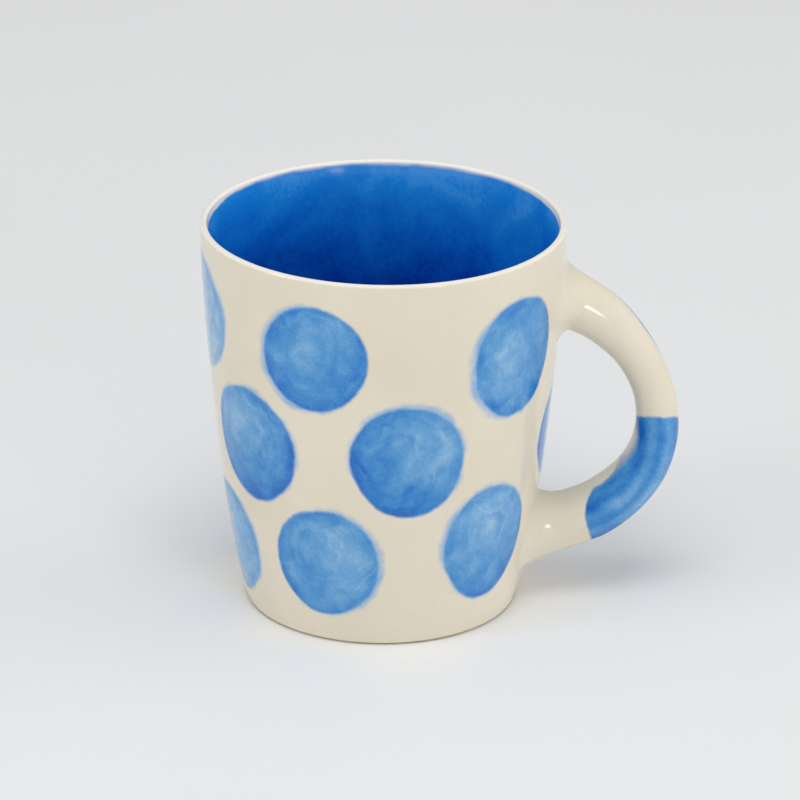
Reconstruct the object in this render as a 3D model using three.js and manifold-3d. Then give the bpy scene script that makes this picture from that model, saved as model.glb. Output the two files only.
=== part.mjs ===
// A glazed stoneware mug: a tapered cup, a round loop handle luted on with clay slip, and the coats
// of glaze over them. Millimetres, +Z up. The cup stands on z = 0, its axis is the Z axis, and the
// handle points along +X. The origin is the middle of the foot.
import * as THREE from 'three';
import { mergeVertices } from 'three/addons/utils/BufferGeometryUtils.js';
import Module from 'manifold-3d';

// Cup
const cupHeight = 96.8;
const rimRadius = 44;
const lipRadius = 0.87; // the lip is a half round of this radius
const floorThickness = 6.5;
const floorCornerRadius = 11; // inside, where the wall meets the floor
const footRadius = 32.5; // bare clay that stands on the table
const footChamfer = 0.4;
const bareFootHeight = 0.5; // the outer coat stops this far above the table

// The finished outside of the wall, from the lower edge of the coat to the lip: [radius, height].
const outsideOutline = [
  [33.0, bareFootHeight],
  [34.1, 4.8],
  [35.5, 11.6],
  [38.4, 29],
  [40.6, 48.4],
  [42.4, 67.8],
  [43.5, 83.2],
  [rimRadius, cupHeight - lipRadius],
];

// The wall is thin at the lip and thickens downwards: [height, thickness].
const wallThickness = [
  [cupHeight - lipRadius, 2 * lipRadius],
  [90, 2.6],
  [76, 3.2],
  [48, 3.7],
  [floorThickness + floorCornerRadius, 4.3],
];

// Coats of glaze
const coatThickness = 0.4;
const coatGap = 0.1; // between the clay and a coat of the same outline
const lipOverlap = 1.05; // the outer coat turns over the lip and ends this far below its top
const liningGap = 0.15; // between the outer coat's edge and the lining

// Handle
const handleWidth = 1.1; // width across the loop over its thickness
// The middle of the loop and the half thickness there, from inside the wall at the top to inside
// the wall at the bottom: [x, z, half thickness].
const handleOutline = [
  [37.5, 78.6, 7.0],
  [46.6, 76.1, 6.8],
  [54.3, 71.1, 6.1],
  [61.2, 63.2, 5.2],
  [65.7, 53.5, 5.0],
  [66.7, 43.1, 5.35],
  [63.7, 33.4, 5.95],
  [56.9, 25.5, 6.6],
  [47.9, 20.1, 6.95],
  [32.0, 15.6, 7.2],
];

// A slip fillet starts on the handle at a fraction of the loop's run, meets the wall towards the
// loop's end, and spreads this far on the wall.
const upperJoint = { start: 0.175, loopEnd: 0, spread: 3.9 };
const lowerJoint = { start: 0.86, loopEnd: 1, spread: 2.9 };
const sideWidening = 0.9; // how much further a fillet spreads at the handle's front and back
const jointReach = 4; // a fillet and its plug are made this deep before they are cut to the wall

// Mesh fineness
const cupFacets = 60;
const outsideSteps = 12;
const insideSteps = 7;
const lipSteps = 4;
const cornerSteps = 4;
const handleSides = 16;
const handleSteps = 36;
const jointSteps = 5;
const wallSamples = 200; // for finding the wall's radius at any height
const runTolerance = 1e-4; // for finding where the handle meets the wall, as a fraction of the loop

const cutGap = 0.3; // between a piece and the neighbour that it is cut to fit

const wasm = await Module();
wasm.setup();

function toSolid(geometry) {
  geometry.deleteAttribute('normal');
  geometry.deleteAttribute('uv');
  const merged = mergeVertices(geometry);
  const index = merged.getIndex().array;
  const corners = [];
  for (let i = 0; i < index.length; i += 3) {
    const [a, b, c] = [index[i], index[i + 1], index[i + 2]];
    if (a !== b && b !== c && c !== a) corners.push(a, b, c);
  }
  const mesh = new wasm.Mesh({
    numProp: 3,
    vertProperties: new Float32Array(merged.getAttribute('position').array),
    triVerts: new Uint32Array(corners),
  });
  return new wasm.Manifold(mesh);
}

function toGeometry(solid) {
  const mesh = solid.getMesh();
  const geometry = new THREE.BufferGeometry();
  geometry.setAttribute('position', new THREE.BufferAttribute(new Float32Array(mesh.vertProperties), 3));
  geometry.setIndex(new THREE.BufferAttribute(new Uint32Array(mesh.triVerts), 1));
  geometry.computeVertexNormals();
  return geometry;
}

// Outlines are lists of Vector2(radius, height).

function smoothOutline(points, steps) {
  return new THREE.SplineCurve(points.map(([x, y]) => new THREE.Vector2(x, y))).getPoints(steps);
}

function arcOutline(x, z, radius, fromAngle, toAngle, steps) {
  const clockwise = toAngle < fromAngle;
  return new THREE.EllipseCurve(x, z, radius, radius, fromAngle, toAngle, clockwise).getPoints(steps);
}

// Moves every point of an outline to the left of its direction of travel.
function shiftOutline(points, distance) {
  return points.map((point, i) => {
    const before = points[Math.max(i - 1, 0)];
    const after = points[Math.min(i + 1, points.length - 1)];
    const along = after.clone().sub(before).normalize();
    return new THREE.Vector2(point.x - along.y * distance, point.y + along.x * distance);
  });
}

function outsideRadius(height) {
  const outline = smoothOutline(outsideOutline, wallSamples);
  const above = outline.findIndex((point) => point.y >= height);
  if (above < 0) return rimRadius;
  const upper = outline[Math.max(above, 1)];
  const lower = outline[Math.max(above, 1) - 1];
  const share = (height - lower.y) / (upper.y - lower.y);
  return lower.x + share * (upper.x - lower.x);
}

// An outline turned about the Z axis. It runs anticlockwise, with the radius to the right.
function turned(outline) {
  const geometry = new THREE.LatheGeometry(outline, cupFacets);
  geometry.rotateX(Math.PI / 2);
  return toSolid(geometry);
}

// A solid through rings of points, with both ends closed.
function loft(rings) {
  const sides = rings[0].length;
  const positions = rings.flat().flatMap((point) => [point.x, point.y, point.z]);
  const corners = [];
  for (let ring = 0; ring < rings.length - 1; ring += 1) {
    for (let side = 0; side < sides; side += 1) {
      const a = ring * sides + side;
      const b = ring * sides + ((side + 1) % sides);
      corners.push(a, b, b + sides, a, b + sides, a + sides);
    }
  }
  const last = (rings.length - 1) * sides;
  for (let side = 1; side < sides - 1; side += 1) {
    corners.push(0, side + 1, side);
    corners.push(last, last + side, last + side + 1);
  }
  const geometry = new THREE.BufferGeometry();
  geometry.setAttribute('position', new THREE.BufferAttribute(new Float32Array(positions), 3));
  geometry.setIndex(corners);
  return toSolid(geometry);
}

// Cup outlines

const outsideWall = smoothOutline(outsideOutline, outsideSteps);
const lipCentre = new THREE.Vector2(rimRadius - lipRadius, cupHeight - lipRadius);
const lip = arcOutline(lipCentre.x, lipCentre.y, lipRadius, 0, Math.PI, lipSteps);
const insideWall = smoothOutline(
  wallThickness.map(([height, thickness]) => [outsideRadius(height) - thickness, height]),
  insideSteps,
);
const wallFoot = insideWall[insideWall.length - 1];
const corner = arcOutline(
  wallFoot.x - floorCornerRadius,
  floorThickness + floorCornerRadius,
  floorCornerRadius,
  0,
  -Math.PI / 2,
  cornerSteps,
);
const floorMiddle = new THREE.Vector2(0, floorThickness);

// The finished surface of the cup, up the outside, over the lip and down to the middle of the floor.
const lipEdge = new THREE.Vector2(rimRadius - 2 * lipRadius, cupHeight - lipOverlap);
const outsideSurface = [...outsideWall, ...lip.slice(1), lipEdge];
const liningEdge = new THREE.Vector2(lipEdge.x, lipEdge.y - liningGap);
const insideSurface = [liningEdge, ...insideWall.slice(1), ...corner.slice(1), floorMiddle];

function onAxis(outline) {
  const last = outline[outline.length - 1];
  return [...outline.slice(0, -1), new THREE.Vector2(0, last.y)];
}

function closedOutline(front, back) {
  return [...front, ...back.slice().reverse(), front[0].clone()];
}

function makeCupBody() {
  const outside = shiftOutline(outsideSurface.slice(0, -1), coatThickness + coatGap);
  const inside = shiftOutline(insideSurface.slice(1), coatThickness + coatGap);
  const foot = [
    new THREE.Vector2(0, 0),
    new THREE.Vector2(footRadius - footChamfer, 0),
    new THREE.Vector2(footRadius, footChamfer),
  ];
  return turned([...foot, ...outside, ...onAxis(inside)]);
}

function makeOuterGlaze() {
  return turned(closedOutline(outsideSurface, shiftOutline(outsideSurface, coatThickness)));
}

function makeInnerGlaze() {
  const back = shiftOutline(insideSurface, coatThickness);
  return turned([...onAxis(back).reverse(), ...insideSurface]);
}

// The solid of everything inside the clay wall's outer face, let out by the gap of a cut.
function makeWallEnvelope() {
  const face = shiftOutline(outsideWall, coatThickness + coatGap - cutGap);
  const top = new THREE.Vector2(0, cupHeight);
  const bottom = new THREE.Vector2(0, 0);
  const foot = new THREE.Vector2(footRadius, 0);
  return turned([bottom, foot, ...face, top]);
}

// Handle

const loop = new THREE.CatmullRomCurve3(
  handleOutline.map(([x, z]) => new THREE.Vector3(x, 0, z)),
  false,
  'catmullrom',
);
const loopThickness = new THREE.SplineCurve(
  handleOutline.map(([, , halfThickness], i) => new THREE.Vector2(i, halfThickness)),
);

// A point of the loop's surface at a fraction of its run, out from that surface by extra.
function handlePoint(fraction, side, extra) {
  const along = loop.getTangent(fraction);
  const across = new THREE.Vector3(along.z, 0, -along.x);
  const halfThickness = loopThickness.getPoint(fraction).y;
  const angle = (2 * Math.PI * side) / handleSides;
  const point = loop.getPoint(fraction);
  point.addScaledVector(across, Math.cos(angle) * (halfThickness + extra));
  point.y += Math.sin(angle) * (halfThickness * handleWidth + extra);
  return point;
}

function ringOf(makePoint) {
  return Array.from({ length: handleSides }, (_, side) => makePoint(side));
}

function handleBar(from, to, extra) {
  const steps = Math.ceil(handleSteps * (to - from));
  const rings = [];
  for (let step = 0; step <= steps; step += 1) {
    const fraction = from + ((to - from) * step) / steps;
    rings.push(ringOf((side) => handlePoint(fraction, side, extra)));
  }
  return loft(rings);
}

// Slides a point along X onto the finished outside of the wall, then out from the axis by clear.
function ontoWall(point, clear) {
  const radius = outsideRadius(point.z);
  const x = Math.sqrt(radius * radius - point.y * point.y);
  return new THREE.Vector3(x * (1 + clear / radius), point.y * (1 + clear / radius), point.z);
}

// The fraction of the loop's run where one side of the handle meets the wall.
function wallFraction(joint, side) {
  let outside = joint.start;
  let inside = joint.loopEnd;
  while (Math.abs(outside - inside) > runTolerance) {
    const middle = (outside + inside) / 2;
    const point = handlePoint(middle, side, 0);
    if (Math.hypot(point.x, point.y) > outsideRadius(point.z)) outside = middle;
    else inside = middle;
  }
  return outside;
}

// The direction in which one side of a fillet spreads over the wall.
function spreadDirection(fraction, side) {
  const contact = handlePoint(fraction, side, 0);
  const outward = handlePoint(fraction, side, 1).sub(contact).normalize();
  const wallNormal = new THREE.Vector3(contact.x, contact.y, 0).normalize();
  return outward.addScaledVector(wallNormal, -outward.dot(wallNormal)).normalize();
}

function spreadAt(joint, side) {
  return joint.spread * (1 + sideWidening * Math.sin((2 * Math.PI * side) / handleSides) ** 2);
}

function jointEdge(joint, extra) {
  return ringOf((side) => {
    const fraction = wallFraction(joint, side);
    const contact = handlePoint(fraction, side, 0);
    const spread = spreadAt(joint, side) + extra;
    return ontoWall(contact.addScaledVector(spreadDirection(fraction, side), spread), 0);
  });
}

// Rings are put in the order of the loop's run, so that a loft's faces point outwards.
function inLoopOrder(joint, rings) {
  return joint.loopEnd > joint.start ? rings : rings.reverse();
}

// A slip fillet: a quarter ellipse that leaves the handle along its side and meets the wall flat.
function makeJoint(joint, wallEnvelope) {
  const rings = [];
  for (let step = 0; step < jointSteps; step += 1) {
    const angle = (step / jointSteps) * (Math.PI / 2);
    rings.push(ringOf((side) => {
      const wall = wallFraction(joint, side);
      const fraction = joint.start + (wall - joint.start) * Math.sin(angle);
      const rise = spreadAt(joint, side) * (1 - Math.cos(angle));
      return handlePoint(fraction, side, 0).addScaledVector(spreadDirection(wall, side), rise);
    }));
  }
  const edge = jointEdge(joint, 0);
  rings.push(edge, edge.map((point) => ontoWall(point, -jointReach)));
  const core = handleBar(0, 1, cutGap - coatThickness - coatGap);
  return loft(inLoopOrder(joint, rings)).subtract(core).subtract(wallEnvelope);
}

// A plug through the outer coat where a fillet stands on the clay.
function jointPlug(joint) {
  const edge = jointEdge(joint, cutGap);
  const rings = [jointReach, -jointReach].map((clear) => edge.map((point) => ontoWall(point, clear)));
  return loft(inLoopOrder(joint, rings));
}

// Pieces

const bareClay = new THREE.MeshStandardMaterial({ color: 0xcdbfa6, roughness: 0.85, metalness: 0 });
const ivoryGlaze = new THREE.MeshStandardMaterial({ color: 0xded7c3, roughness: 0.12, metalness: 0 });
const blueGlaze = new THREE.MeshStandardMaterial({ color: 0x0a5cae, roughness: 0.08, metalness: 0 });

const mug = new THREE.Group();

function addPiece(name, solid, material) {
  const mesh = new THREE.Mesh(toGeometry(solid), material);
  mesh.name = name;
  mug.add(mesh);
}

const wallEnvelope = makeWallEnvelope();
const outerGlaze = makeOuterGlaze().subtract(jointPlug(upperJoint)).subtract(jointPlug(lowerJoint));
const handleCore = handleBar(0, 1, -coatThickness - coatGap).subtract(wallEnvelope);
const endGap = cutGap / loop.getLength(); // as a fraction of the loop
const handleCoat = handleBar(upperJoint.start + endGap, lowerJoint.start - endGap, 0)
  .subtract(handleBar(upperJoint.start - endGap, lowerJoint.start + endGap, -coatThickness));

addPiece('cup_body', makeCupBody(), bareClay);
addPiece('outer_glaze', outerGlaze, ivoryGlaze);
addPiece('inner_glaze', makeInnerGlaze(), blueGlaze);
addPiece('handle', handleCore, bareClay);
addPiece('handle_glaze', handleCoat, ivoryGlaze);
addPiece('handle_joint_upper', makeJoint(upperJoint, wallEnvelope), ivoryGlaze);
addPiece('handle_joint_lower', makeJoint(lowerJoint, wallEnvelope), ivoryGlaze);

export default mug;
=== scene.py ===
import math

import bpy
import numpy as np
from mathutils import Matrix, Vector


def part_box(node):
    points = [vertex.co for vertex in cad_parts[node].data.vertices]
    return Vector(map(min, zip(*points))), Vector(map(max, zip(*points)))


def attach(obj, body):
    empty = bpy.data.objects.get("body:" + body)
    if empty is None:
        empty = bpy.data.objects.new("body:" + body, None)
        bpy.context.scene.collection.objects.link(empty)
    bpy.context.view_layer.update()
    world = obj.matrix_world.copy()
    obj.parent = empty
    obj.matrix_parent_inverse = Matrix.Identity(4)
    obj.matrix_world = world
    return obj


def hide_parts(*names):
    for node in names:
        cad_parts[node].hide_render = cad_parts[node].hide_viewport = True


# A glazed stoneware mug with painted spots. Everything is in metres, in the frame of the CAD model:
# the foot's middle is the origin, +Z runs up the cup's axis, and the handle points along +X.
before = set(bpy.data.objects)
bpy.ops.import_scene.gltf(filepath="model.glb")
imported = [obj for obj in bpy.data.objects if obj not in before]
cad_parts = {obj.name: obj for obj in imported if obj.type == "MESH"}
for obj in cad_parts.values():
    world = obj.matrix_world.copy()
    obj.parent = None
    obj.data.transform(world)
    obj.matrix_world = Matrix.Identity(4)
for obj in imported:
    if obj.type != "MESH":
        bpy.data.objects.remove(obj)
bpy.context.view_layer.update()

MM = 0.001

# The cup. Its height, rim and floor come from the frame; the outlines repeat the CAD model's.
COAT = 0.4 * MM
COAT_GAP = 0.1 * MM
CUP_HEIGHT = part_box("outer_glaze")[1].z
RIM_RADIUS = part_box("outer_glaze")[1].y
COAT_FOOT = 0.5 * MM
FLOOR_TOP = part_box("inner_glaze")[0].z + COAT
LIP_RADIUS = 0.87 * MM
LIP_OVERLAP = 1.05 * MM
FOOT_RADIUS = 32.5 * MM
FOOT_CHAMFER = 0.4 * MM
FLOOR_CORNER = 11.0 * MM

# Up the outside of the wall: radius, height. Down the inside: height, wall thickness.
OUTSIDE = np.array([
    [33.0 * MM, COAT_FOOT],
    [34.1 * MM, 4.8 * MM],
    [35.5 * MM, 11.6 * MM],
    [38.4 * MM, 29.0 * MM],
    [40.6 * MM, 48.4 * MM],
    [42.4 * MM, 67.8 * MM],
    [43.5 * MM, 83.2 * MM],
    [RIM_RADIUS, CUP_HEIGHT - LIP_RADIUS],
])
THICKNESS = np.array([
    [CUP_HEIGHT - LIP_RADIUS, 2 * LIP_RADIUS],
    [90.0 * MM, 2.6 * MM],
    [76.0 * MM, 3.2 * MM],
    [48.0 * MM, 3.7 * MM],
    [FLOOR_TOP + FLOOR_CORNER, 4.3 * MM],
])

# The handle: x, z and half thickness along the loop, and its two slip joints. A joint starts at a
# share of the loop's run, keeps to the bar for the plain share of its way to the wall, and then
# spreads out.
LOOP = MM * np.array([
    [37.5, 78.6, 7.0],
    [46.6, 76.1, 6.8],
    [54.3, 71.1, 6.1],
    [61.2, 63.2, 5.2],
    [65.7, 53.5, 5.0],
    [66.7, 43.1, 5.35],
    [63.7, 33.4, 5.95],
    [56.9, 25.5, 6.6],
    [47.9, 20.1, 6.95],
    [32.0, 15.6, 7.2],
])
HANDLE_WIDTH = 1.1  # width across the loop over its thickness
UPPER_JOINT = {"start": 0.175, "loop_end": 0.0, "plain": 0.4, "spread": 3.9 * MM}
LOWER_JOINT = {"start": 0.86, "loop_end": 1.0, "plain": 0.4, "spread": 2.9 * MM}
SIDE_WIDENING = 0.9  # how much further a fillet spreads at the handle's front and back
SEAM = 0.000005  # the share of the loop's run between the handle's coat and a joint

# How uneven the mug is. The rim swings inwards by up to twice these shares of its radius, and its
# lip dips by up to twice this distance.
OVAL = 0.0016
WAVER = 0.0008
LIP_DIP = 0.1 * MM

# Mesh fineness
TURNS = 240
HANDLE_SIDES = 96
EDGE_STRIP = 0.0004  # a narrow strip of the loop's run at a cut end keeps the shading there true
SHARP_EDGE = math.radians(40)

# The camera
VIEW_AIM = np.array([4.3 * MM, 0.0, 50.1 * MM])
VIEW_DISTANCE = 1.2124
VIEW_ELEVATION = math.radians(22.56)
VIEW_ROLL = math.radians(0.57)
VIEW_LENS = 225.0

# Painted spots: azimuth in degrees from -Y towards +X, height, half width and half height in mm,
# tilt in degrees, how far the thin first wash is out of place, across and up, in mm, and the
# colour: how much stronger it gets towards the right edge and the top edge, and how strong it is.
SPOTS = [
    (-80.0, 76.9, 13.8, 14.1, 0, 0.4, 0.6, 0.08, 0.0, -0.3),
    (-22.2, 76.3, 12.6, 13.7, -12, -1.0, -0.5, -0.03, -0.1, 0.09),
    (49.0, 73.1, 12.8, 15.3, 4, -1.5, -0.2, 0.12, -0.05, 0.0),
    (131.5, 76.5, 13.2, 14.0, 10, 0.8, -0.6, -0.1, -0.12, 0.02),
    (178.0, 74.5, 13.6, 14.6, -8, -0.9, 0.5, 0.12, 0.05, -0.05),
    (-130.5, 76.0, 13.2, 13.8, 6, 0.7, 0.8, -0.12, 0.1, 0.05),
    (-50.2, 49.4, 14.4, 14.7, -20, 0.1, 0.2, 0.16, -0.16, 0.08),
    (8.9, 50.6, 13.6, 14.7, 12, 0.3, 0.5, -0.2, -0.1, 0.08),
    (88.5, 46.0, 13.8, 13.0, 0, 0.5, -0.4, -0.2, 0.1, 0.08),
    (140.5, 48.6, 13.5, 14.5, -10, -0.7, 0.6, 0.15, -0.12, 0.08),
    (-165.0, 50.0, 14.0, 14.4, 14, 0.9, 0.2, -0.1, -0.1, 0.0),
    (-108.0, 47.5, 13.6, 14.2, -6, -0.5, -0.8, 0.0, -0.15, 0.06),
    (-73.2, 19.2, 14.5, 14.3, -10, 0.3, 0.4, 0.05, 0.05, -0.15),
    (-20.8, 22.3, 14.3, 14.6, -25, 0.8, 0.6, -0.1, -0.1, 0.0),
    (43.0, 25.2, 13.7, 15.8, 10, -0.4, 0.2, -0.06, -0.22, -0.02),
    (133.0, 22.5, 14.0, 14.4, 12, -0.8, 0.4, 0.1, -0.08, -0.05),
    (-178.5, 23.5, 14.2, 14.2, -6, 0.5, -0.7, -0.16, 0.05, 0.06),
    (-126.5, 20.8, 13.8, 14.6, 8, -0.5, 0.6, 0.1, -0.14, 0.0),
]
SPOT_RADIUS = 40.0  # mm: azimuth in radians times this is the distance round the wall


# Curves -------------------------------------------------------------------------------------

def spline(points, at, straight_ends=False):
    """Points of a Catmull-Rom curve at shares of its run from 0 to 1."""
    last = len(points) - 1
    place = np.clip(np.asarray(at, float), 0, 1) * last
    index = np.minimum(place.astype(int), last - 1)
    w = (place - index)[..., None]
    if straight_ends:
        head, tail = 2 * points[0] - points[1], 2 * points[-1] - points[-2]
    else:
        head, tail = points[0], points[-1]
    padded = np.vstack([head, points, tail])
    p0, p1, p2, p3 = (padded[index + k] for k in range(4))
    v0, v1 = (p2 - p0) / 2, (p3 - p1) / 2
    cubic = 2 * p1 - 2 * p2 + v0 + v1
    square = -3 * p1 + 3 * p2 - 2 * v0 - v1
    return cubic * w**3 + square * w**2 + v0 * w + p1


def arc(x, z, radius, start, end, count):
    """Points of an arc about a middle, between two angles in degrees."""
    angle = np.linspace(math.radians(start), math.radians(end), count)
    return np.stack([x + radius * np.cos(angle), z + radius * np.sin(angle)], -1)


def shifted(outline, distance):
    """The outline moved to the left of its direction of travel."""
    before = np.vstack([outline[:1], outline[:-1]])
    after = np.vstack([outline[1:], outline[-1:]])
    along = after - before
    along /= np.linalg.norm(along, axis=1, keepdims=True)
    return outline + distance * np.stack([-along[:, 1], along[:, 0]], -1)


WALL = spline(OUTSIDE, np.linspace(0, 1, 400))


def wall_radius(height):
    """The outside radius of the finished wall."""
    return np.interp(height, WALL[:, 1], WALL[:, 0])


def wall_normal(point):
    """Outward normals of the finished wall at points on or near it."""
    step = 0.2 * MM
    slope = (wall_radius(point[..., 2] + step) - wall_radius(point[..., 2] - step)) / (2 * step)
    radius = np.hypot(point[..., 0], point[..., 1])
    normal = np.stack([point[..., 0] / radius, point[..., 1] / radius, -slope], -1)
    return normal / np.linalg.norm(normal, axis=-1, keepdims=True)


def onto_wall(point, clear=0.0):
    """Slides points along X onto the finished wall, then out from the axis by clear."""
    radius = wall_radius(point[..., 2])
    y = point[..., 1]
    x = np.sqrt(radius**2 - y**2)
    out = 1 + clear / radius
    return np.stack([x * out, y * out, point[..., 2]], -1)


def handle_point(share, angle, extra=0.0):
    """Points of the handle's surface, at shares of the loop's run and angles round its section."""
    share, angle = np.broadcast_arrays(np.asarray(share, float), np.asarray(angle, float))
    step = 1e-4
    middle = spline(LOOP, share, straight_ends=True)
    half = spline(LOOP, share)[..., 2]
    ahead = spline(LOOP, share + step, straight_ends=True) - spline(LOOP, share - step, straight_ends=True)
    along = ahead[..., :2] / np.linalg.norm(ahead[..., :2], axis=-1, keepdims=True)
    across = (half + extra) * np.cos(angle)
    x = middle[..., 0] + along[..., 1] * across
    y = (half * HANDLE_WIDTH + extra) * np.sin(angle)
    z = middle[..., 1] - along[..., 0] * across
    return np.stack([x, y, z], -1)


def hand_made(point):
    """The slight unevenness of a mug made by hand: an oval rim, a lip that dips, a wall not quite
    true. It only ever moves a point inwards or down."""
    x, y, z = point[..., 0], point[..., 1], point[..., 2]
    height = z / CUP_HEIGHT
    turn = np.arctan2(y, x)
    oval_turn, waver_turn, dip_turn, twist = 1.1, 0.6, 0.9, 4.5  # radians
    oval = OVAL * height**2 * (np.cos(2 * turn - oval_turn) - 1)
    waver = WAVER * height * (np.sin(3 * turn + twist * height + waver_turn) - 1)
    dip = LIP_DIP * height**4 * (np.sin(2 * turn + dip_turn) - 1)
    scale = 1 + oval + waver
    return np.stack([x * scale, y * scale, z + dip], -1)


# Meshes -------------------------------------------------------------------------------------

def volume(points, faces):
    """Six times the signed volume of a closed mesh: below zero if its faces point inwards."""
    fans = np.array([(face[0], face[i], face[i + 1]) for face in faces for i in range(1, len(face) - 1)])
    a, b, c = (points[fans[:, k]] for k in range(3))
    return (a * np.cross(b, c)).sum()


def add_object(name, data):
    """A new object, linked to the scene."""
    item = bpy.data.objects.new(name, data)
    bpy.context.scene.collection.objects.link(item)
    return item


def make_piece(name, points, faces, material, slot, *nodes):
    """A smooth-shaded mesh object that rides on the mug and stands for CAD nodes."""
    mesh = bpy.data.meshes.new(name)
    points = hand_made(np.asarray(points, float))
    mesh.from_pydata(points.tolist(), [], faces)
    if volume(points, faces) < 0:
        mesh.flip_normals()
    mesh.shade_smooth()
    mesh.set_sharp_from_angle(angle=SHARP_EDGE)
    mesh.materials.append(material)
    piece = add_object(name, mesh)
    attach(piece, "root")
    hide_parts(*nodes)


def spun(outline, sides):
    """Points of the rings that an outline's points make about the Z axis."""
    angle = np.linspace(0, 2 * math.pi, sides, endpoint=False)
    return np.stack([
        outline[:, :1] * np.cos(angle),
        outline[:, :1] * np.sin(angle),
        np.repeat(outline[:, 1:], sides, 1),
    ], -1).reshape(-1, 3)


def ring_faces(count, sides, rings):
    """Bands of faces, each from one of the rings given to the next. The last ring's next is the
    first one."""
    faces = []
    for ring in rings:
        low, high = ring * sides, (ring + 1) % count * sides
        for side in range(sides):
            nxt = (side + 1) % sides
            faces.append((low + side, low + nxt, high + nxt, high + side))
    return faces


def turned(outline):
    """Points and faces of an outline turned about the Z axis. It closes on itself, or starts and
    ends on the axis, and runs anticlockwise with the radius to the right."""
    on_axis = outline[0, 0] < 1e-7
    rings = outline[1:-1] if on_axis else outline
    points = spun(rings, TURNS)
    count = len(rings)
    faces = ring_faces(count, TURNS, range(count - 1 if on_axis else count))
    if on_axis:
        poles = [[0, 0, outline[0, 1]], [0, 0, outline[-1, 1]]]
        points = np.vstack([points, poles])
        top, bottom = count * TURNS + 1, count * TURNS
        last = (count - 1) * TURNS
        for side in range(TURNS):
            nxt = (side + 1) % TURNS
            faces.append((bottom, nxt, side))
            faces.append((top, last + side, last + nxt))
    return points, faces


def lofted(rings):
    """Points and faces of a hollow solid through rings of points, whose last ring joins its first."""
    count, sides = rings.shape[:2]
    return rings.reshape(-1, 3), ring_faces(count, sides, range(count))


# Cup outlines -------------------------------------------------------------------------------

inside_control = np.stack([wall_radius(THICKNESS[:, 0]) - THICKNESS[:, 1], THICKNESS[:, 0]], -1)
inside_wall = spline(inside_control, np.linspace(0, 1, 90))
corner = arc(inside_wall[-1, 0] - FLOOR_CORNER, FLOOR_TOP + FLOOR_CORNER, FLOOR_CORNER, 0, -90, 28)
floor_run = np.linspace(corner[-1, 0], 0, 22)
floor = np.stack([floor_run, np.full_like(floor_run, FLOOR_TOP)], -1)
lip_middle = np.array([RIM_RADIUS - LIP_RADIUS, CUP_HEIGHT - LIP_RADIUS])
lip = arc(lip_middle[0], lip_middle[1], LIP_RADIUS, 0, 168, 24)
edge_height = CUP_HEIGHT - LIP_OVERLAP
lip_edge = np.array([[np.interp(edge_height, inside_wall[::-1, 1], inside_wall[::-1, 0]), edge_height]])
below_edge = inside_wall[inside_wall[:, 1] < edge_height - 0.05 * MM]


def coat_outline():
    """The closed outline of the outer coat, with the lower edge of the glaze rounded."""
    rounding = 0.12 * MM
    front = spline(OUTSIDE, np.linspace(0, 1, 110))
    front = np.vstack([front[:1] - [[rounding, 0]], front[:1] + [[0, rounding]], front[2:]])
    front = np.vstack([front, lip[1:], lip_edge])
    hidden_wall = spline(OUTSIDE, np.linspace(0, 1, 24))
    hidden = shifted(np.vstack([hidden_wall, lip[6::6], lip_edge]), COAT)
    return np.vstack([front, hidden[::-1]])


def lining_outline():
    """The outline of the blue lining, from the axis under the floor's face and back to the axis."""
    front = np.vstack([lip_edge, below_edge, corner[1:], floor[1:]])
    hidden = shifted(np.vstack([lip_edge, below_edge[4::6], corner[3::4], floor[3::6]]), COAT)
    hidden[-1, 0] = 0
    return np.vstack([hidden[::-1], front])


def body_outline():
    """The clay: a foot with shallow turning marks under it, and the wall under the coats."""
    mark_spacing, mark_depth, plain_ring = 2.6 * MM, 0.14 * MM, 5.0 * MM
    run = np.linspace(0, FOOT_RADIUS - FOOT_CHAMFER, 110)
    fade = np.clip((FOOT_RADIUS - plain_ring - run) / plain_ring, 0, 1)
    marks = mark_depth * fade * (0.5 - 0.5 * np.cos(2 * math.pi * run / mark_spacing))
    foot = np.vstack([np.stack([run, marks], -1), [[FOOT_RADIUS, FOOT_CHAMFER]]])
    depth = COAT + COAT_GAP
    outside = shifted(np.vstack([spline(OUTSIDE, np.linspace(0, 1, 60)), lip[4::4]]), depth)
    inside = shifted(np.vstack([inside_wall[6::6], corner[3::4], floor[3::6]]), depth)
    inside[-1, 0] = 0
    return np.vstack([foot, outside, inside])


# Handle -------------------------------------------------------------------------------------

SECTION = np.linspace(0, 2 * math.pi, HANDLE_SIDES, endpoint=False)


def handle_rings(start, end, count, extra=0.0):
    """Rings of points round the handle between two shares of the loop's run."""
    share = np.linspace(start, end, count)
    share = np.insert(share, [1, count - 1], [start + EDGE_STRIP, end - EDGE_STRIP])
    return handle_point(share[:, None], SECTION[None, :], extra)


def wall_share(joint):
    """For each side of the handle, the share of the loop's run where it meets the wall. It is found
    by halving the stretch between a share that is clear of the wall and one that is inside it."""
    outside = np.full(HANDLE_SIDES, joint["start"])
    inside = np.full(HANDLE_SIDES, joint["loop_end"])
    for _ in range(30):
        middle = (outside + inside) / 2
        point = handle_point(middle, SECTION)
        clear = np.hypot(point[:, 0], point[:, 1]) > wall_radius(point[:, 2])
        outside = np.where(clear, middle, outside)
        inside = np.where(clear, inside, middle)
    return outside


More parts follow.
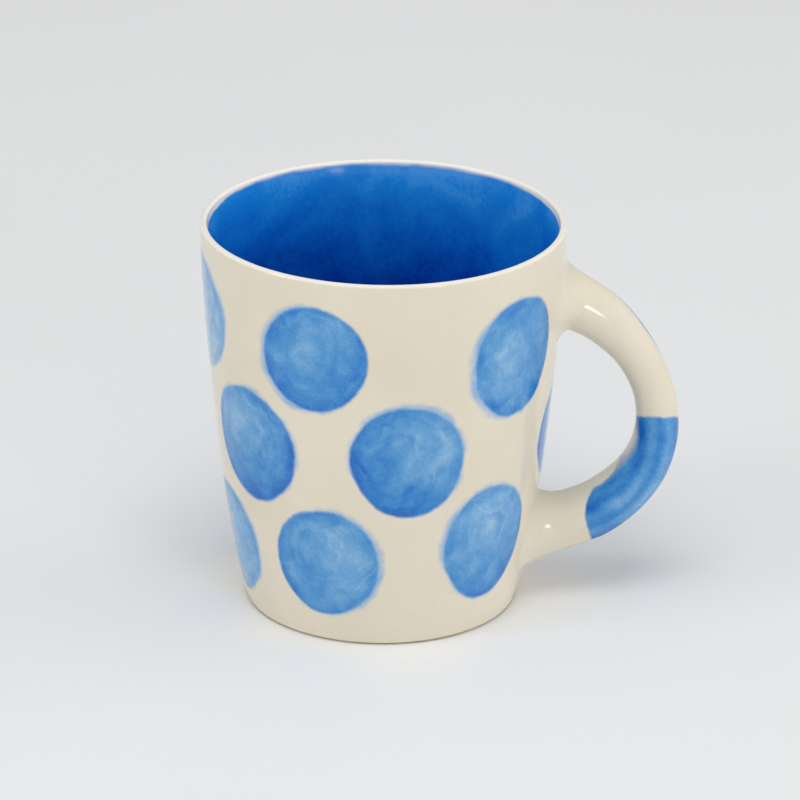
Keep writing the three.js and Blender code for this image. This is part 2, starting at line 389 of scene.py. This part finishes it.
def joint_rings(joint):
    """A slip fillet round the clay core: a quarter ellipse from the handle's side to the wall, which
    it meets flat, then back through the coat to the core and along it to the start."""
    bend_steps, core_steps = 26, 8
    strip = 0.01  # of the plain stretch: it keeps the shading at the cut end true
    feather = ((0.3, 0.003), (0.7, 0.015), (1.1, 0.05))  # mm past the edge, and mm into the glaze
    meet = wall_share(joint)
    contact = handle_point(meet, SECTION)
    outward = handle_point(meet, SECTION, MM) - contact
    normal = wall_normal(contact)
    outward -= normal * (outward * normal).sum(-1, keepdims=True)
    outward /= np.linalg.norm(outward, axis=-1, keepdims=True)
    widest = (joint["spread"] * (1 + SIDE_WIDENING * np.sin(SECTION)**2))[:, None]
    edge = contact + outward * widest
    off_wall = edge - onto_wall(edge)
    bend_from = joint["start"] + (meet - joint["start"]) * joint["plain"]
    rings = [handle_point(np.full(HANDLE_SIDES, joint["start"]), SECTION),
             handle_point(joint["start"] + (bend_from - joint["start"]) * strip, SECTION)]
    for angle in np.linspace(0, math.pi / 2, bend_steps):
        share = bend_from + (meet - bend_from) * math.sin(angle)
        spread = 1 - math.cos(angle)
        side = handle_point(share, SECTION)
        rings.append(side + outward * widest * spread - off_wall * spread**2)
    buried = -COAT - COAT_GAP / 2
    for run_out, sink in feather:
        rings.append(onto_wall(edge + outward * run_out * MM, -sink * MM))
    rings.append(onto_wall(edge, buried))
    rings.append(onto_wall(handle_point(meet, SECTION, buried), buried))
    for share in np.linspace(meet, joint["start"], core_steps)[1:]:
        rings.append(handle_point(share, SECTION, buried))
    return np.array(rings)


# Materials ----------------------------------------------------------------------------------
# Paint is placed on the mug in millimetres, in the frame of the CAD model.

HEIGHT_MM = CUP_HEIGHT / MM
RIM_MM = RIM_RADIUS / MM
BLUE_STARTS = (0.4, 1.7)  # mm below the lip: the lining's blue fades in between these depths
GLAZE_IOR = 1.5

# A circle near the middle of the handle's loop. The handle's paint is placed along it, upwards from
# its outermost point, and outwards from it, in mm.
BEND_X = 44.0
BEND_Z = 43.0
BEND_RADIUS = 22.0


def srgb(red, green, blue):
    """A colour given as it looks on screen, 0 to 255, as Blender's linear colour."""
    def linear(value):
        value /= 255
        return value / 12.92 if value <= 0.04045 else ((value + 0.055) / 1.055) ** 2.4
    return (linear(red), linear(green), linear(blue), 1.0)


class Graph:
    """A node tree. A value in it is a number, a colour, a vector or a node's output."""

    def __init__(self, tree):
        self.tree = tree

    def put(self, socket, value):
        if isinstance(value, bpy.types.NodeSocket):
            self.tree.links.new(value, socket)
        else:
            socket.default_value = value

    def math(self, operation, a, b=0.0, clamp=False):
        node = self.tree.nodes.new("ShaderNodeMath")
        node.operation, node.use_clamp = operation, clamp
        self.put(node.inputs[0], a)
        self.put(node.inputs[1], b)
        return node.outputs[0]

    def plus(self, a, b):
        return self.math("ADD", a, b)

    def minus(self, a, b):
        return self.math("SUBTRACT", a, b)

    def times(self, a, b):
        return self.math("MULTIPLY", a, b)

    def over(self, a, b):
        return self.math("DIVIDE", a, b)

    def least(self, a, b):
        return self.math("MINIMUM", a, b)

    def most(self, a, b):
        return self.math("MAXIMUM", a, b)

    def vector(self, operation, a, b=(0, 0, 0), scale=1.0):
        node = self.tree.nodes.new("ShaderNodeVectorMath")
        node.operation = operation
        self.put(node.inputs[0], a)
        self.put(node.inputs[1], b)
        self.put(node.inputs[3], scale)
        return node.outputs["Value" if operation in ("LENGTH", "DISTANCE", "DOT_PRODUCT") else "Vector"]

    def length(self, vector):
        return self.vector("LENGTH", vector)

    def scaled(self, vector, scale):
        return self.vector("SCALE", vector, scale=scale)

    def split(self, vector):
        node = self.tree.nodes.new("ShaderNodeSeparateXYZ")
        self.put(node.inputs[0], vector)
        return node.outputs[0], node.outputs[1], node.outputs[2]

    def join(self, x, y=0.0, z=0.0):
        node = self.tree.nodes.new("ShaderNodeCombineXYZ")
        for socket, value in zip(node.inputs, (x, y, z)):
            self.put(socket, value)
        return node.outputs[0]

    def flat(self, vector):
        """The vector without its third part."""
        return self.vector("MULTIPLY", vector, (1, 1, 0))

    def noise(self, vector, scale, detail=2.0, roughness=0.5, distortion=0.0, colour=False):
        node = self.tree.nodes.new("ShaderNodeTexNoise")
        self.put(node.inputs["Vector"], vector)
        for name, value in (("Scale", scale), ("Detail", detail), ("Roughness", roughness),
                            ("Distortion", distortion)):
            self.put(node.inputs[name], value)
        return node.outputs["Color" if colour else "Fac"]

    def swing(self, size, *noise):
        """Noise that swings about zero. Its whole range is at most size."""
        return self.times(self.minus(self.noise(*noise), 0.5), size)

    def step(self, value, low, high, out_low=0.0, out_high=1.0):
        """A smooth step from out_low to out_high as the value goes from low to high."""
        node = self.tree.nodes.new("ShaderNodeMapRange")
        node.interpolation_type = "SMOOTHSTEP"
        self.put(node.inputs["Value"], value)
        for name, number in (("From Min", low), ("From Max", high), ("To Min", out_low),
                             ("To Max", out_high)):
            self.put(node.inputs[name], number)
        return node.outputs["Result"]

    def fall(self, value, low, high):
        """A smooth step down from 1 to 0 as the value goes from low to high."""
        return self.step(value, low, high, 1.0, 0.0)

    def ramp(self, value, *stops):
        node = self.tree.nodes.new("ShaderNodeValToRGB")
        self.put(node.inputs["Fac"], value)
        ramp = node.color_ramp
        while len(ramp.elements) < len(stops):
            ramp.elements.new(0.5)
        for element, (place, colour) in zip(ramp.elements, stops):
            element.position, element.color = place, colour
        return node.outputs["Color"]

    def mix(self, factor, a, b, kind="RGBA"):
        node = self.tree.nodes.new("ShaderNodeMix")
        node.data_type = kind
        first = {"RGBA": 6, "VECTOR": 4, "FLOAT": 2}[kind]
        self.put(node.inputs[0], factor)
        self.put(node.inputs[first], a)
        self.put(node.inputs[first + 1], b)
        return node.outputs[{"RGBA": 2, "VECTOR": 1, "FLOAT": 0}[kind]]

    def bump(self, height, distance):
        node = self.tree.nodes.new("ShaderNodeBump")
        self.put(node.inputs["Height"], height)
        node.inputs["Distance"].default_value = distance
        node.inputs["Strength"].default_value = 1.0
        return node.outputs["Normal"]


class Surface(Graph):
    """The node tree of one material, round its shader."""

    def __init__(self, name):
        self.material = bpy.data.materials.new(name)
        self.material.use_nodes = True
        super().__init__(self.material.node_tree)
        self.tree.nodes.clear()
        output = self.tree.nodes.new("ShaderNodeOutputMaterial")
        self.shader = self.tree.nodes.new("ShaderNodeBsdfPrincipled")
        self.tree.links.new(self.shader.outputs["BSDF"], output.inputs["Surface"])

    def set(self, **values):
        """Sets the shader's inputs, whose names have underscores here for spaces."""
        for name, value in values.items():
            self.put(self.shader.inputs[name.replace("_", " ")], value)

    def object_mm(self):
        """The place on the mug, in millimetres."""
        return self.scaled(self.tree.nodes.new("ShaderNodeTexCoord").outputs["Object"], 1 / MM)


def lip_depth(g, place):
    """How far below the lip a place is, in mm, where the blue starts higher at the back and front
    than at the sides, and wavers. At the sides it also starts more sharply."""
    side_drop, side_sharpness = 1.2, 2.0
    x, _, z = g.split(place)
    side = g.math("POWER", g.over(x, RIM_MM), 6.0)
    middle = sum(BLUE_STARTS) / 2
    depth = g.plus(g.minus(HEIGHT_MM - middle, z), g.swing(1.2, place, 0.1, 3, 0.6))
    depth = g.minus(depth, g.times(side, side_drop))
    return g.plus(g.times(depth, g.plus(g.times(side, side_sharpness), 1.0)), middle)


def ivory_clay(g, place):
    """Glazed ivory clay: soft clouds of tone, a painted highlight that pales the top of the lip, and a few
    tiny iron specks.
    """
    lip_highlight_starts, lip_highlight_full = HEIGHT_MM - 0.95, HEIGHT_MM - 0.3
    cloud = g.noise(place, 0.035, 3, 0.55)
    tone = g.mix(g.step(cloud, 0.35, 0.65), srgb(229, 220, 198), srgb(234, 225, 206))
    grain = g.noise(place, 1.6, 3, 0.6)
    tone = g.mix(g.step(grain, 0.3, 0.7, 0.0, 0.3), tone, srgb(223, 212, 188))
    # painted highlight: a pale band painted along the top of the lip
    lip = g.step(g.split(place)[2], lip_highlight_starts, lip_highlight_full, 0.0, 0.7)
    tone = g.mix(lip, tone, srgb(252, 248, 238))
    speck = g.noise(place, 0.55, 2, 0.4)
    return g.mix(g.step(speck, 0.80, 0.84, 0.0, 0.5), tone, srgb(150, 132, 105))


def brushed_blue(g, place, streak, rim, core, strength):
    """Cobalt brushed on wet: soft strokes, pools at the rim, a thinner middle, and fine mottling."""
    even_density, rim_pools, core_thins = 0.43, 0.18, 0.14
    density = g.plus(strength, even_density)
    for part, share in (
        (streak, 0.76),
        (g.noise(place, 0.085, 2, 0.5, 0.5), 0.75),
        (g.noise(place, 0.26, 2, 0.5, 0.2), 0.5),
        (g.noise(place, 1.5, 3, 0.65), 0.45),
    ):
        density = g.plus(density, g.times(g.minus(part, 0.5), share))
    density = g.plus(density, g.times(rim, rim_pools))
    density = g.math("SUBTRACT", density, g.times(core, core_thins), clamp=True)
    return g.ramp(
        density,
        (0.0, srgb(152, 193, 222)),
        (0.25, srgb(112, 169, 217)),
        (0.5, srgb(76, 149, 208)),
        (0.75, srgb(40, 126, 201)),
        (1.0, srgb(6, 100, 188)),
    )


def speckled(g, place, colour):
    """Fine dark specks that the glaze picks up from the clay."""
    speck = g.noise(place, 0.42, 2, 0.45)
    return g.mix(g.step(speck, 0.79, 0.82, 0.0, 0.75), colour, srgb(74, 84, 104))


def glossy(g, place, colour):
    """A clear glaze: very smooth, with the faint ripple that makes its reflections waver."""
    ripple, peel = g.noise(place, 0.09, 2, 0.5), g.noise(place, 0.7, 2, 0.5)
    g.set(
        Base_Color=colour,
        Roughness=g.step(g.noise(place, 0.3, 2, 0.5), 0.3, 0.7, 0.09, 0.14),
        Normal=g.bump(g.plus(ripple, g.times(peel, 0.08)), 0.05 * MM),
        IOR=GLAZE_IOR,
    )
    return g.material


# The cup's spots ----------------------------------------------------------------------------

def in_spot(g, flat, centre, height, half_width, half_height, tilt):
    """The position in a spot whose edge is at a distance of 1."""
    node = g.tree.nodes.new("ShaderNodeMapping")
    node.vector_type = "TEXTURE"
    g.put(node.inputs["Vector"], flat)
    node.inputs["Location"].default_value = (centre, height, 0)
    node.inputs["Rotation"].default_value = (0, 0, math.radians(tilt))
    node.inputs["Scale"].default_value = (half_width, half_height, 1)
    return node.outputs[0]


def spot_fields(g, place):
    """For any place on the wall: its position in the nearest spot, whose edge is at a distance of 1,
    that distance, the same distance in the nearest first wash, and the nearest spot's colour."""
    x, y, z = g.split(place)
    round_wall = g.times(g.math("ARCTAN2", x, g.times(y, -1.0)), SPOT_RADIUS)
    wobble = g.vector("SUBTRACT", g.noise(place, 0.075, 2, 0.5, colour=True), (0.5, 0.5, 0.5))
    flat = g.flat(g.vector("ADD", g.join(round_wall, z), g.scaled(wobble, 1.8)))
    best = None
    for azimuth, height, half_width, half_height, tilt, wash_x, wash_z, *shade in SPOTS:
        for turn in (-360, 0, 360):  # a spot across the line at the back is needed on both its sides
            centre = math.radians(azimuth + turn) * SPOT_RADIUS
            if abs(centre) > math.pi * SPOT_RADIUS + 1.2 * half_width:
                continue
            inside = in_spot(g, flat, centre, height, half_width, half_height, tilt)
            reach = g.length(inside)
            first = g.vector("DISTANCE", inside, (wash_x / half_width, wash_z / half_height, 0))
            if best is None:
                best, nearest, wash, tone = reach, inside, first, shade
                continue
            nearer = g.math("LESS_THAN", reach, best)
            nearest = g.mix(nearer, nearest, inside, "VECTOR")
            tone = g.mix(nearer, tone, shade, "VECTOR")
            best = g.least(best, reach)
            wash = g.least(wash, first)
    return nearest, best, wash, tone


def spot_streaks(g, place, nearest, reach):
    """Brush strokes that curl round a spot's middle. At the middle itself there are none."""
    stroke_width, curl, drift = 3.4, 0.9, 0.035
    across = g.times(g.plus(reach, g.swing(0.8, place, 0.12, 2, 0.5)), stroke_width)
    direction = g.vector("NORMALIZE", nearest)
    stroke_x, stroke_y, stroke_z = g.split(
        g.vector("ADD", g.scaled(direction, curl), g.scaled(place, drift)))
    stroke = g.join(g.plus(stroke_x, across), g.minus(stroke_y, across), stroke_z)
    return g.mix(g.step(reach, 0.05, 0.4), 0.5, g.noise(stroke, 1.0, 3, 0.6, 0.3), "FLOAT")


def spot_paint(g, place, nearest, reach, tone, streak):
    """The colour of the second wash. Tone says how its strength grows to the right and upwards."""
    core_place = g.vector("ADD", nearest, g.scaled(tone, 1.6))
    core = g.fall(g.length(g.flat(core_place)), 0.1, 0.75)
    strength = g.plus(g.vector("DOT_PRODUCT", nearest, tone), g.split(tone)[2])
    return brushed_blue(g, place, streak, g.step(reach, 0.7, 0.97), core, strength)


def inside_the_lip(g, place):
    """1 on the outer coat's inner side, near the lip, and 0 on its outer side."""
    x, y, z = g.split(place)
    lip_middle_mm = RIM_MM - LIP_RADIUS / MM
    inside = g.fall(g.length(g.join(x, y)), lip_middle_mm - 0.5, lip_middle_mm)
    return g.times(inside, g.step(z, HEIGHT_MM - 4.0, HEIGHT_MM - 3.0))


def cup_glaze():
    """Ivory glaze over brushed spots: each spot is a thin first wash under a stronger second one."""
    g = Surface("ivory_glaze_with_spots")
    place = g.object_mm()
    inner_lip = inside_the_lip(g, place)
    # The inner side of the lip is ivory, painted brighter than the wall's ivory to lift the shade it lies
    # in: partly its own colour, partly painted light.
    colour = g.mix(inner_lip, ivory_clay(g, place), srgb(254, 250, 240))
    nearest, reach, wash, tone = spot_fields(g, place)
    streak = spot_streaks(g, place, nearest, reach)
    ragged, patchy = g.swing(0.03, place, 0.7, 2, 0.5), g.swing(0.22, place, 0.16, 2, 0.5)
    wash_mask = g.fall(g.plus(wash, g.plus(ragged, patchy)), 0.93, 1.07)
    wash_mask = g.times(wash_mask, g.step(streak, 0.25, 0.7, 0.55, 0.95))
    colour = g.mix(wash_mask, colour, srgb(124, 175, 222))
    spot_mask = g.fall(g.plus(reach, ragged), 0.945, 1.02)
    colour = g.mix(spot_mask, colour, spot_paint(g, place, nearest, reach, tone, streak))
    blue_edge = g.times(inner_lip, g.step(lip_depth(g, place), *BLUE_STARTS))
    colour = g.mix(blue_edge, colour, srgb(44, 140, 226))
    return glossy(g, place, speckled(g, place, colour))


# The handle's patches -----------------------------------------------------------------------

def front_patch(g, y, z, bend, outer, edge):
    """Where the paint wraps the lower bend: cut straight at the top, rounded at the low end, and
    further round towards the inner side as it goes down."""
    wrap = g.step(bend, -14.0, -3.0, 1.9, 0.0)
    inner_edge = g.step(g.plus(g.plus(outer, wrap), edge), -5.4, -3.2)
    corner_starts, corner_length, corner_depth = -22.4, 6.4, 6.2
    corner_run = g.over(g.least(g.minus(bend, corner_starts), 0.0), corner_length)
    corner_side = g.over(g.least(outer, 0.0), corner_depth)
    rounded = g.length(g.join(corner_run, corner_side))
    low_end = g.fall(g.plus(rounded, g.times(edge, 0.1)), 0.93, 1.03)
    slant = g.plus(z, g.times(y, 0.3))
    top_end = g.fall(g.plus(slant, g.times(edge, 1.2)), 46.4, 47.3)
    return g.least(g.least(low_end, top_end), inner_edge)


def back_patch(g, y, bend, outer, edge):
    """Where the paint lies on the upper bend: an oval on its back that comes just past the middle
    of its outer side."""
    middle_bend, half_length = 20.0, 12.0
    middle_y, half_width = 7.0, 7.6
    inner_limit, half_depth = -0.5, 4.4
    run = g.over(g.minus(bend, middle_bend), half_length)
    side = g.over(g.least(g.minus(y, middle_y), 0.0), half_width)
    inner = g.over(g.least(g.minus(outer, inner_limit), 0.0), half_depth)
    reach = g.length(g.join(run, side, inner))
    return g.fall(g.plus(reach, g.times(edge, 0.06)), 0.94, 1.04)


def handle_streaks(g, y, bend, outer, wobble):
    """Brush strokes that follow the loop, with the regular bands of the brush's bristles."""
    band_turn, band_shift, band_share = 1.46, 2.8, 0.42
    stroke = g.join(g.times(bend, 0.07), g.times(outer, 0.34), g.times(y, 0.3))
    swell = g.math("COSINE", g.times(g.plus(g.plus(outer, wobble), band_shift), band_turn))
    band = g.plus(g.times(swell, 0.5), 0.5)
    return g.mix(band_share, g.noise(stroke, 1.0, 3, 0.6, 0.3), band, "FLOAT")


def handle_glaze():
    """Ivory glaze over two brushed patches: one round the outer lower bend, one on the back."""
    g = Surface("ivory_glaze_with_patches")
    place = g.object_mm()
    x, y, z = g.split(place)
    run_x, run_z = g.minus(x, BEND_X), g.minus(z, BEND_Z)
    outer = g.minus(g.length(g.join(run_x, run_z)), BEND_RADIUS)
    bend = g.times(g.math("ARCTAN2", run_z, run_x), BEND_RADIUS)
    wobble = g.swing(1.3, place, 0.16, 2, 0.5)
    edge = g.plus(wobble, g.swing(0.5, place, 0.8, 2, 0.5))
    pooled = g.most(g.fall(outer, -3.4, 0.6), g.fall(bend, -26.0, -19.0))
    core = g.times(g.step(outer, -0.5, 1.8), g.fall(outer, 2.4, 5.0))
    paint = brushed_blue(g, place, handle_streaks(g, y, bend, outer, wobble), pooled, core, 0.12)
    mask = g.most(front_patch(g, y, z, bend, outer, edge), back_patch(g, y, bend, outer, edge))
    colour = g.mix(mask, ivory_clay(g, place), paint)
    return glossy(g, place, speckled(g, place, colour))


# The lining and the bare clay ---------------------------------------------------------------

def lining_glaze():
    """Deep blue glaze, mottled where it broke and fading to ivory at the lip, with painted shade: pale
    near the top and painted darker downwards into the cup.
    """
    g = Surface("blue_glaze")
    place = g.object_mm()
    painted_shade_depth = 60.0
    depth = g.minus(HEIGHT_MM, g.split(place)[2])
    cloud = g.swing(36.0, place, 0.06, 3, 0.55, 0.5)
    mottle = g.swing(14.0, place, 0.9, 3, 0.6)
    # painted shade: the blue is painted paler near the top and darker deeper in the cup, where less light
    # reaches
    blue = g.ramp(
        g.over(g.plus(depth, g.plus(cloud, mottle)), painted_shade_depth),
        (0.0, srgb(62, 153, 232)),
        (0.08, srgb(30, 139, 226)),
        (0.25, srgb(14, 116, 218)),
        (0.5, srgb(2, 71, 182)),
        (0.85, srgb(1, 50, 157)),
    )
    # The lining's top is ivory, painted brighter than the wall's ivory to lift the shade it lies in:
    # partly its own colour, partly painted light.
    return glossy(g, place, g.mix(g.step(lip_depth(g, place), *BLUE_STARTS), srgb(254, 250, 238), blue))


def bare_clay():
    """Unglazed fired clay: matt and sandy, with a few iron specks."""
    g = Surface("bare_stoneware")
    place = g.object_mm()
    cloud = g.noise(place, 0.06, 3, 0.55)
    grain = g.noise(place, 2.2, 4, 0.7)
    tone = g.ramp(cloud, (0.3, srgb(201, 184, 155)), (0.7, srgb(216, 202, 176)))
    tone = g.mix(g.step(grain, 0.35, 0.7, 0.0, 0.5), tone, srgb(184, 164, 133))
    speck = g.noise(place, 0.8, 2, 0.4)
    tone = g.mix(g.step(speck, 0.74, 0.77, 0.0, 0.8), tone, srgb(96, 74, 52))
    g.set(Base_Color=tone, Roughness=g.step(grain, 0.3, 0.7, 0.78, 0.92), Normal=g.bump(grain, 0.06 * MM))
    return g.material


# The mug ------------------------------------------------------------------------------------

clay = bare_clay()
wall_glaze = cup_glaze()
bar_glaze = handle_glaze()
blue_glaze = lining_glaze()

make_piece("cup_clay", *turned(body_outline()), clay, "bare_stoneware", "cup_body")
make_piece("outer_coat", *turned(coat_outline()), wall_glaze, "ivory_glaze", "outer_glaze")
make_piece("lining_coat", *turned(lining_outline()), blue_glaze, "blue_glaze", "inner_glaze")

coat_run = (UPPER_JOINT["start"] + SEAM, LOWER_JOINT["start"] - SEAM)
coat_rings = np.vstack([handle_rings(*coat_run, 150), handle_rings(*coat_run, 60, -COAT)[::-1]])
make_piece("handle_coat", *lofted(coat_rings), bar_glaze, "ivory_glaze", "handle_glaze")
for joint_name, joint, joint_node in (
    ("upper_slip_joint", UPPER_JOINT, "handle_joint_upper"),
    ("lower_slip_joint", LOWER_JOINT, "handle_joint_lower"),
):
    make_piece(joint_name, *lofted(joint_rings(joint)), bar_glaze, "ivory_glaze", joint_node)
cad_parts["handle"].material_slots[0].material = clay


# The studio, in metres ----------------------------------------------------------------------

# Area lights: azimuth and elevation in degrees, with azimuth 0 in front and 90 on the handle's
# side, distance, width, height, power in watts, and whether the glaze mirrors the light.
LIGHTS = {
    "key_light": (-6, 68, 2.2, 1.3, 1.1, 16.2, False),
    "left_light": (-66, 20, 1.9, 0.5, 0.85, 5.6, True),
    "right_light": (33, 12, 1.8, 0.3, 0.36, 3.2, True),
    "right_panel": (92, 15, 2.0, 1.6, 0.9, 9, False),
}
# The light from all round
HORIZON_GLOW = 0.85
SKY_GLOW = 0.51
SKY_STARTS = 0.4  # the sine of the elevation where the glow has come down to the sky's
AIR_COLOUR = (0.976, 0.974, 0.988, 1.0)


def studio_floor():
    """A wide round floor that curves up into a low wall, all one pale surface."""
    reach, bend, wall, sides = 3.4, 0.9, 1.3, 128
    curve = arc(reach, bend, bend, -90, 0, 24)
    outline = np.vstack([[[0.6, 0.0]], [[1.6, 0.0]], curve, [[reach + bend, wall]]])
    count = len(outline)
    faces = [tuple(range(sides))]
    faces += [face[::-1] for face in ring_faces(count, sides, range(count - 1))]
    mesh = bpy.data.meshes.new("studio_floor")
    mesh.from_pydata(spun(outline, sides).tolist(), [], faces)
    mesh.shade_smooth()
    g = Surface("studio_paper")
    cloud = g.noise(g.object_mm(), 0.004, 2, 0.5)
    g.set(
        Base_Color=g.ramp(cloud, (0.3, srgb(240, 241, 241)), (0.7, srgb(243, 244, 244))),
        Roughness=0.6,
        Specular_IOR_Level=0.2,
    )
    mesh.materials.append(g.material)
    return add_object("studio_floor", mesh)


def stand(item, place, right, up, back):
    """Places a light or camera, which looks away from its back."""
    matrix = np.eye(4)
    matrix[:3, 0], matrix[:3, 1], matrix[:3, 2], matrix[:3, 3] = right, up, back, place
    item.matrix_world = Matrix(matrix.tolist())


def soft_light(name, azimuth, elevation, distance, width, height, power, mirrored):
    """A rectangular light aimed at the mug. A light that isn't mirrored lights the glaze without
    showing as a reflection in it."""
    a, e = math.radians(azimuth), math.radians(elevation)
    back = np.array([math.sin(a) * math.cos(e), -math.cos(a) * math.cos(e), math.sin(e)])
    right = np.array([math.cos(a), math.sin(a), 0.0])
    light = bpy.data.lights.new(name, "AREA")
    light.shape = "RECTANGLE"
    light.size, light.size_y = width, height
    light.energy = power
    lamp = add_object(name, light)
    lamp.visible_glossy = mirrored
    stand(lamp, np.array([0, 0, CUP_HEIGHT / 2]) + back * distance, right, np.cross(back, right), back)


def studio_air():
    """Soft light from all round, stronger near the horizon than overhead."""
    world = bpy.data.worlds.new("studio_air")
    world.use_nodes = True
    g = Graph(world.node_tree)
    air = g.tree.nodes["Background"]
    direction = g.tree.nodes.new("ShaderNodeTexCoord").outputs["Generated"]
    g.put(air.inputs["Strength"], g.step(g.split(direction)[2], 0.0, SKY_STARTS, HORIZON_GLOW, SKY_GLOW))
    g.put(air.inputs["Color"], AIR_COLOUR)
    return world


def studio_camera():
    """A camera that looks along +Y and down at the mug, rolled a little."""
    camera = add_object("camera", bpy.data.cameras.new("camera"))
    camera.data.lens, camera.data.sensor_width = VIEW_LENS, 36.0
    camera.data.clip_start, camera.data.clip_end = 0.05, 20.0
    forward = np.array([0.0, math.cos(VIEW_ELEVATION), -math.sin(VIEW_ELEVATION)])
    level_right = np.array([1.0, 0.0, 0.0])
    level_up = np.cross(level_right, forward)
    right = math.cos(VIEW_ROLL) * level_right + math.sin(VIEW_ROLL) * level_up
    up = math.cos(VIEW_ROLL) * level_up - math.sin(VIEW_ROLL) * level_right
    stand(camera, VIEW_AIM - VIEW_DISTANCE * forward, right, up, -forward)
    return camera


studio_floor()
for light_name, light_settings in LIGHTS.items():
    soft_light(light_name, *light_settings)
bpy.context.scene.world = studio_air()
bpy.context.scene.view_settings.view_transform = "Standard"
bpy.context.scene.camera = studio_camera()
